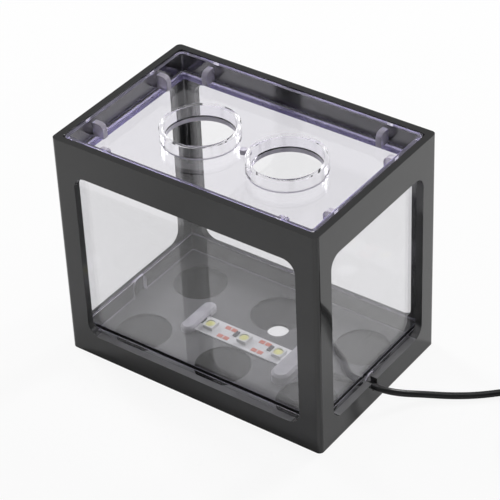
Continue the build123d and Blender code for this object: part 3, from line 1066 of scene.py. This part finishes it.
@dataclass
class TrayLid(Moulding):
    """The clear lid: a tray with a rim, a lip below, eight tabs, two collars and a gate mark."""

    nodes: tuple[str, ...] = ("lid",)
    plate: float = 1.8 * MM
    rim: float = 1.6 * MM
    corner: float = 2.5 * MM
    lip_in: float = 2.1 * MM
    lip_wall: float = 1.5 * MM
    lip_drop: float = 1.8 * MM
    lip_corner: float = 1.5 * MM
    lip_inner_r: float = 0.5 * MM
    collar_x: float = 20.0 * MM
    bore_r: float = 14.0 * MM
    collar_wall: float = 1.75 * MM
    collar_h: float = 5.2 * MM
    tab_t: float = 2.5 * MM
    tab_reach: float = 5.0 * MM
    tab_h: float = 6.0 * MM
    tab_x: float = 40.5 * MM
    tab_y: float = 20.0 * MM
    gate_r: float = 1.6 * MM
    gate_h: float = 1.8 * MM
    gate_edge: float = 0.5 * MM
    edge: float = 0.25 * MM

    @property
    def seat(self) -> float:
        """The height of the tray's underside, which rests on the tank."""
        return self.low.z + self.lip_drop

    @property
    def top(self) -> float:
        """The height of the tray's floor."""
        return self.seat + self.plate

    def build(self) -> list[bpy.types.Object]:
        """Models the lid in the CAD lid's place.

        Returns:
            The lid.
        """
        low, high = self.low, self.high
        piece = Bench.block("lid_tray", (low.x, low.y, self.seat), high, self.corner)
        Bench.press_in(piece, high.z, Facing.UP, self.rim, self.top - high.z)
        Bench.combine(piece, [self._lip()], Cut.ON)
        in_plate = self.top - self.plate / 2
        rise = self.collar_h + self.plate / 2
        collar = Bench.rod("collar", self.bore_r + self.collar_wall, (0, 0, in_plate), rise)
        bore = Bench.rod("bore", self.bore_r, (0, 0, low.z - MM), high.z - low.z + 2 * MM)
        spots = [Matrix.Translation((x, 0, 0)) for x in (-self.collar_x, self.collar_x)]
        Bench.combine(piece, Bench.repeat(collar, spots), Cut.ON)
        Bench.combine(piece, Bench.repeat(bore, spots), Cut.AWAY)
        Bench.score(piece, self.top)
        Bench.combine(piece, [*self._tabs(), self._gate()], Cut.ON)
        Bench.soften(piece, self.edge)
        Bench.dress(piece, LID_CLEAR)
        # The roundings and the rim's top get the lilac tint and a painted sheen of caught light.
        Bench.dress_faces(piece, EDGE_TINT_AND_PAINTED_SHEEN, self._on_edge)
        # The plate's edges in the bores and the gate mark get painted glints.
        Bench.dress_faces(piece, EDGE_PAINTED_GLINT, self._in_bore)
        # The tabs get the lilac tint and a painted sheen.
        Bench.dress_faces(piece, TAB_TINT_AND_PAINTED_SHEEN, self._on_tab)
        Bench.dress_faces(piece, LIP_VIOLET, self._on_lip)
        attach(piece, Body.LID.value)
        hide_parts("lid")
        return [piece]

    def _on_edge(self, middle: Vector, normal: Vector) -> bool:
        """Whether a face belongs to a rounding or to the rim's top."""
        return on_rounding(middle, normal) or looks_up_at(self.high.z, middle, normal)

    def _in_bore(self, middle: Vector, normal: Vector) -> bool:
        """Whether a face is the plate's edge in a bore, or part of the gate mark.

        Args:
            middle: The face's middle.
            normal: Its normal, which is not used.

        Returns:
            True for such a face.
        """
        from_axis = math.hypot(abs(middle.x) - self.collar_x, middle.y)
        in_bore = abs(from_axis - self.bore_r) < SLACK and middle.z < self.top
        over_gate = math.hypot(middle.x, middle.y) < self.gate_r + SLACK
        return in_bore or (over_gate and middle.z > self.top + HAIR)

    def _on_tab(self, middle: Vector, normal: Vector) -> bool:
        """Whether a face belongs to a tab.

        Args:
            middle: The face's middle.
            normal: Its normal, which is not used.

        Returns:
            True for such a face.
        """
        on_long = self._in_tab(middle.x, self.tab_x, self.high.y - abs(middle.y))
        on_short = self._in_tab(middle.y, self.tab_y, self.high.x - abs(middle.x))
        return middle.z > self.top + SLACK and (on_long or on_short)

    def _on_lip(self, middle: Vector, normal: Vector) -> bool:
        """Whether a face belongs to the lip below the tray."""
        return middle.z < self.seat - HAIR

    def _in_tab(self, along: float, spot: float, inset: float) -> bool:
        """Whether a place lies in one of the tabs of a side.

        Args:
            along: How far along the side it is, from the side's middle.
            spot: How far along the side its two tabs are.
            inset: How far inside the outline it is.

        Returns:
            True in a tab.
        """
        depth = self.rim + self.tab_reach + SLACK
        return abs(abs(along) - spot) < self.tab_t / 2 + MARGIN and self.rim < inset < depth

    def _lip(self) -> bpy.types.Object:
        """The lip that drops inside the tank's walls and runs up into the tray's floor.

        Returns:
            The lip.
        """
        low, seat = self.low.z, self.seat
        in_plate = seat + self.plate / 2
        lip = self.inset_block("lip", self.lip_in, low, in_plate, self.lip_corner)
        hollow = self.inset_block(
            "lip_bore", self.lip_in + self.lip_wall, low - MM, seat + self.plate, self.lip_inner_r
        )
        Bench.combine(lip, [hollow], Cut.AWAY)
        return lip

    def _tabs(self) -> list[bpy.types.Object]:
        """The eight tabs, each with its free top corner rounded off.

        Returns:
            The tabs, copied from one that is modelled at the middle of the back.
        """
        inner, peak = -self.tab_reach, self.top + self.tab_h
        tab = Bench.block(
            "tab",
            (-self.tab_t / 2, inner, self.top - MM),
            (self.tab_t / 2, self.rim / 2, peak),
        )
        Bench.bevel_edges(
            tab,
            lambda a, b: max(a.y, b.y) < inner + NEAR and min(a.z, b.z) > peak - NEAR,
            self.tab_reach / 2,
            steps=8,
        )
        sides = ((self.high.y, self.tab_x), (self.high.x, self.tab_y)) * 2
        moves = [
            Matrix.Rotation(math.radians(90 * quarter), 4, "Z")
            @ Matrix.Translation((along, reach - self.rim, 0))
            for quarter, (reach, spot) in enumerate(sides)
            for along in (-spot, spot)
        ]
        return Bench.repeat(tab, moves)

    def _gate(self) -> bpy.types.Object:
        """The round gate mark in the middle of the tray.

        Returns:
            The gate mark.
        """
        foot, peak = self.top - MM, self.top + self.gate_h
        gate = Bench.rod("gate_mark", self.gate_r, (0, 0, foot), self.gate_h + MM, sides=48)
        Bench.bevel_edges(gate, lambda a, b: min(a.z, b.z) > peak - NEAR, self.gate_edge, steps=4)
        return gate


@dataclass
class LightStrip:
    """The light strip: board, three LEDs, resistors, copper pads and two soft clips."""

    gel_r: float = 2.05 * MM
    dome: float = 1.6  # The dome's height, as a share of the CAD gel's thickness.
    leds: tuple[int, ...] = (1, 2, 3)

    def build(self) -> list[bpy.types.Object]:
        """Dresses the pieces that keep their CAD shape, and models the gels.

        Returns:
            The strip's pieces.
        """
        kept = dress_nodes(
            {
                "strip_board": BOARD_WHITE,
                "resistor_1": CHIP_BLACK,
                "resistor_2": CHIP_BLACK,
                "resistor_3": CHIP_BLACK,
                "copper_pads_1": COPPER,
                "copper_pads_2": COPPER,
                "clip_left": CLIP_CLEAR,
                "clip_right": CLIP_CLEAR,
                "led_body_1": LED_WHITE,
                "led_body_2": LED_WHITE,
                "led_body_3": LED_WHITE,
            }
        )
        return kept + self._gels()

    def _gels(self) -> list[bpy.types.Object]:
        """The LEDs' gels, modelled once and copied into each LED's round well.

        Returns:
            The gels, from the left.
        """
        boxes = [[Vector(corner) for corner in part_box(f"led_window_{led}")] for led in self.leds]
        middles = [(low + high) / 2 for low, high in boxes]
        low, high = boxes[0]
        first = self._dome(low.z, self.dome * (high.z - low.z))
        gels = Bench.repeat(first, [Matrix.Translation((at.x, at.y, 0)) for at in middles])
        for led, gel, at in zip(self.leds, gels, middles):
            gel.name = f"led_gel_{led}"
            centre = (at.x, at.y)
            Bench.dress(gel, replace(LED_GEL, name=f"gel_{led}", centre=centre, reach=self.gel_r))
            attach(gel, Body.FRAME.value)
            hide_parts(f"led_window_{led}")
        return gels

    def _dome(self, foot: float, height: float) -> bpy.types.Object:
        """A shallow dome on the Z axis.

        Args:
            foot: The height of its flat underside.
            height: Its own height.

        Returns:
            The dome.
        """
        Bench.clear()
        bpy.ops.mesh.primitive_uv_sphere_add(
            segments=48, ring_count=24, radius=self.gel_r, location=(0, 0, foot)
        )
        piece = bpy.context.object
        piece.name = "led_gel"
        piece.scale = (1, 1, height / self.gel_r)
        Bench.settle(piece)
        bpy.ops.object.mode_set(mode="EDIT")
        bpy.ops.mesh.select_all(action="SELECT")
        # The usual threshold is a fifth of the dome, and would leave stray faces round its foot.
        bpy.ops.mesh.bisect(
            plane_co=(0, 0, foot),
            plane_no=(0, 0, 1),
            use_fill=True,
            clear_inner=True,
            threshold=NEAR,
        )
        bpy.ops.object.mode_set(mode="OBJECT")
        Bench.smooth(piece)
        return piece


@dataclass
class LeadAndPlug:
    """The lead, held in the dry bay, free on the table and coiled, with its tie and plug.

    Its diameter and length are in metres, and its routes and the coil's sizes in millimetres.
    """

    diameter: float = 2.7 * MM
    length: float = 0.964
    roundness: int = 6
    bay_route: tuple[Point, ...] = (
        (23.9, -2.5, 3.35),
        (31.0, -2.5, 3.35),
        (39.0, -3.2, 3.35),
        (47.6, -2.3, 3.9),
        (55.2, -2.65, 7.2),
        (60.0, -3.0, 7.4),
    )
    table_route: tuple[Point, ...] = (
        (60.0, -3.0, 7.4),
        (63.6, -3.2625, 7.55),
        (68.8, 1.6, 4.7),
        (75.4, 9.0, 2.0),
        (83.6, 14.1, 1.35),
        (93.0, 20.6, 1.35),
        (103.0, 30.6, 1.35),
    )
    coil_at: tuple[float, float] = (133.7, 18.4)
    coil_turn: float = 110.0
    coil_mid_r: float = 13.905
    half_turns: int = 10
    step: float = 3.15
    low_z: float = 1.85
    way_in: tuple[float, float] = (-11.7, -4.5)
    way_out: tuple[float, float] = (3.0, 9.0)
    points_each: int = 8

    def build(self) -> list[bpy.types.Object]:
        """Models the lead and dresses what is on it.

        Returns:
            The lead's two stretches, the tie and the plug's pieces.
        """
        bay = self._curve("lead_in_bay", self.bay_route)
        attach(bay, Body.FRAME.value)
        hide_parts("lead_bay")
        lead = self._curve("lead_free", [*self.table_route, *self._coil()])
        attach(lead, Body.FRAME.value)
        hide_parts("lead_run", "lead_coil")
        on_lead = dress_nodes(
            {
                "lead_tie": TIE_BLACK,
                "plug_sleeve": GRIP_BLACK,
                "plug_grip": GRIP_BLACK,
                "plug_shell": SHELL_STEEL,
                "plug_tongue": TONGUE_WHITE,
                "plug_contacts": CONTACT_GOLD,
            }
        )
        return [bay, lead, *on_lead]

    def _curve(self, name: str, route: Sequence[Point]) -> bpy.types.Object:
        """A round cord along a smooth line.

        Args:
            name: The piece's name.
            route: The line's control points, in millimetres.

        Returns:
            The cord.
        """
        curve = bpy.data.curves.new(name, "CURVE")
        curve.dimensions = "3D"
        curve.bevel_depth = self.diameter / 2
        curve.bevel_resolution = self.roundness
        curve.resolution_u = self.roundness
        curve.use_fill_caps = True
        line = curve.splines.new("NURBS")
        line.points.add(len(route) - 1)
        for point, place in zip(line.points, route):
            point.co = (*(v * MM for v in place), 1.0)
        line.order_u = 3
        line.use_endpoint_u = True
        piece = bpy.data.objects.new(name, curve)
        bpy.context.scene.collection.objects.link(piece)
        piece.data.materials.append(LEAD_JACKET.material())
        return piece

    def _beside_frame(self, x: float, y: float, z: float) -> Point:
        """A point from the coil's own axes to the part's.

        Args:
            x: How far it is across the coil.
            y: How far it is along the coil, towards the plug.
            z: Its height.

        Returns:
            The point, in millimetres as well.
        """
        turn = math.radians(self.coil_turn)
        across, along = math.cos(turn), math.sin(turn)
        middle_x, middle_y = self.coil_at
        return middle_x + x * across + y * along, middle_y + x * along - y * across, z

    def _coil(self) -> list[Point]:
        """The coil's points: wound in below, climbing at the middle, and out again above.

        Each half turn is a half circle, half a step smaller or larger than the one before.

        Returns:
            The points from the lead-in to the plug, in millimetres.
        """
        half_step = self.step / 2
        outer = self.coil_mid_r + self.half_turns * half_step / 2
        # A control point lies outside the arc that the curve keeps, by this factor.
        widen = 2 / (1 + math.cos(math.pi / self.points_each))
        inward = [(outer - k * half_step, 0.0) for k in range(self.half_turns)]
        climb = (outer - self.half_turns * half_step, self.step)
        outward = inward[:0:-1]
        x, side, z = outer, 1, self.low_z
        points = [self._beside_frame(x, y, z) for y in self.way_in]
        for radius, rise in [*inward, climb, *outward]:
            centre = x - side * radius
            for k in range(self.points_each):
                share = (k + 0.5) / self.points_each
                reach = side * radius * widen
                points.append(
                    self._beside_frame(
                        centre + reach * math.cos(math.pi * share),
                        reach * math.sin(math.pi * share),
                        z + rise * share,
                    )
                )
            z += rise
            x -= side * 2 * radius
            side = -side
        return points + [self._beside_frame(x, y, z) for y in self.way_out]


@dataclass(frozen=True)
class Lamp:
    """A soft square lamp: its place and side in metres, and its power in watts."""

    name: str
    at: Point
    side: float
    power: float

    def hang(self, aim: Vector) -> None:
        """Hangs the lamp and points it.

        Args:
            aim: The point that it looks at.
        """
        data = bpy.data.lights.new(self.name, "AREA")
        data.size = self.side
        data.energy = self.power
        lamp = bpy.data.objects.new(self.name, data)
        lamp.location = self.at
        lamp.rotation_euler = (aim - Vector(self.at)).to_track_quat("-Z", "Y").to_euler()
        bpy.context.scene.collection.objects.link(lamp)


@dataclass
class Studio:
    """The camera at the photograph's angle, a pale floor, soft lamps and the room's light."""

    azimuth: float = 37.02
    elevation: float = 36.49
    roll: float = -2.59
    distance: float = 842.8 * MM
    aim: Point = (0.9 * MM, 0.0, 47.0 * MM)
    lens: float = 156.9
    sensor: float = 36.0
    nearest: float = 10.0 * MM
    lamps: tuple[Lamp, ...] = (
        Lamp("left", (-1.15, 0.30, 0.70), 0.35, 11.0),
        Lamp("back", (0.25, 1.15, 0.70), 0.35, 11.0),
        Lamp("top", (0.1, 0.0, 1.1), 0.8, 2.6),
    )
    floor_side: float = 6.0
    floor_z: float = -0.02 * MM
    floor_tone: Colour = (0.86, 0.86, 0.86)
    keep_shadow: float = 0.10
    room_light: float = 0.10

    def build(self) -> None:
        """Sets up the camera, floor, lamps and world."""
        self._camera()
        self._floor()
        for lamp in self.lamps:
            lamp.hang(Vector(self.aim))
        self._world()
        bpy.context.scene.view_settings.view_transform = "Standard"

    def _camera(self) -> None:
        """Places the camera from the angles that fit the photograph."""
        a, e, r = (math.radians(v) for v in (self.azimuth, self.elevation, self.roll))
        back = Vector((math.sin(a) * math.cos(e), -math.cos(a) * math.cos(e), math.sin(e)))
        level = Vector((0, 0, 1)).cross(back).normalized()
        upright = back.cross(level)
        across = level * math.cos(r) + upright * math.sin(r)
        over = upright * math.cos(r) - level * math.sin(r)
        data = bpy.data.cameras.new("camera")
        data.lens = self.lens
        data.sensor_width = self.sensor
        data.clip_start = self.nearest
        camera = bpy.data.objects.new("camera", data)
        turned = Matrix((across, over, back)).transposed().to_4x4()
        camera.matrix_world = Matrix.Translation(Vector(self.aim) + back * self.distance) @ turned
        bpy.context.scene.collection.objects.link(camera)
        bpy.context.scene.camera = camera

    def _floor(self) -> None:
        """Lays a pale floor that shows white and keeps some of the shadow."""
        Bench.clear()
        bpy.ops.mesh.primitive_plane_add(size=self.floor_side, location=(0, 0, self.floor_z))
        floor = bpy.context.object
        floor.name = "floor"
        material = bpy.data.materials.new("floor_white")
        paint = Paint(material)
        matt = paint.node("ShaderNodeBsdfDiffuse", {}, {"Color": (*self.floor_tone, 1.0)})
        glow = paint.node("ShaderNodeEmission", {}, {"Color": WHITE, "Strength": 1.0})
        paint.surface(paint.either(paint.seen() * (1.0 - self.keep_shadow), matt, glow))
        floor.data.materials.append(material)

    def _world(self) -> None:
        """Puts white behind the floor's edge, and a dim room above for light and reflections."""
        world = bpy.data.worlds.new("room")
        bpy.context.scene.world = world
        paint = Paint(world)
        room = paint.node(
            "ShaderNodeBackground", {}, {"Color": WHITE, "Strength": self.room_light}
        )
        white = paint.node("ShaderNodeBackground", {}, {"Color": WHITE, "Strength": 1.0})
        backdrop = paint.either(paint.seen(), room, white)
        paint.node("ShaderNodeOutputWorld", {}, {"Surface": backdrop})


def main() -> None:
    """Builds the aquarium's pieces in order, then the studio, and notes the sizes."""
    logging.basicConfig(level=logging.INFO, format="%(name)s: %(message)s")
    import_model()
    for assembly in (BlackFrame, ClearTank, TrayLid, LightStrip, LeadAndPlug):
        for piece in assembly().build():
            report(piece)
    Studio().build()


if __name__ == "__main__":
    main()
